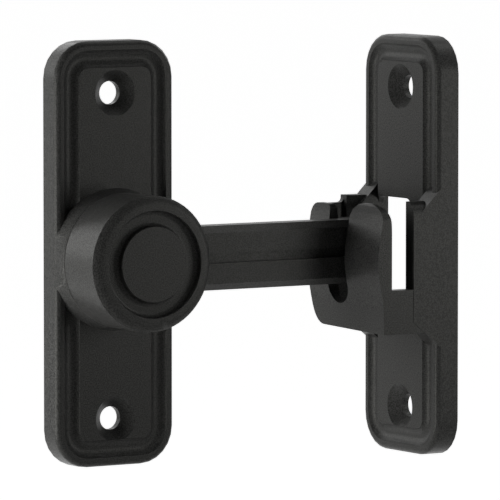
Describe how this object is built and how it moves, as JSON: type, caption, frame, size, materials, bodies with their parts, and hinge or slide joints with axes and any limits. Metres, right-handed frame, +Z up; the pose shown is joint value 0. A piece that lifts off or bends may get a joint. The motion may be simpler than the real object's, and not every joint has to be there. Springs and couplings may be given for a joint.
{
  "type": "barn door latch",
  "caption": "Right-angle barn door latch in black powder coat: a turning knob on a lock plate swings an arm into a hooked keeper across the corner.",
  "frame": {"origin": "where the knob's axis meets the back plane of the lock plate", "axes": "the lock plate faces -Y, the latched arm reaches along +X to the keeper, and +Z is up both plates"},
  "size_m": [0.0949, 0.0325, 0.1],
  "materials": {
    "plate_coat": "fine textured satin powder coat",
    "knob_coat": "fine textured satin powder coat",
    "keeper_coat": "fine textured satin powder coat",
    "nylon": "plain moulded",
    "spring_steel": "spring temper",
    "washer_zinc": "zinc plated",
    "screw_zinc": "zinc plated"
  },
  "bodies": {
    "fixed_plates": {"lock_plate": "plate_coat", "keeper": "keeper_coat", "friction_ring": "nylon", "wave_washer": "spring_steel"},
    "knob_and_arm": {"turn_knob": "knob_coat", "end_washer": "washer_zinc", "pivot_screw": "screw_zinc"}
  },
  "joints": [
    {"name": "knob_turn", "type": "hinge", "parent": "fixed_plates", "child": "knob_and_arm", "pos_m": [0, 0, 0], "axis": [0, -1, 0], "range_deg": [-2.5, 180]}
  ]
}
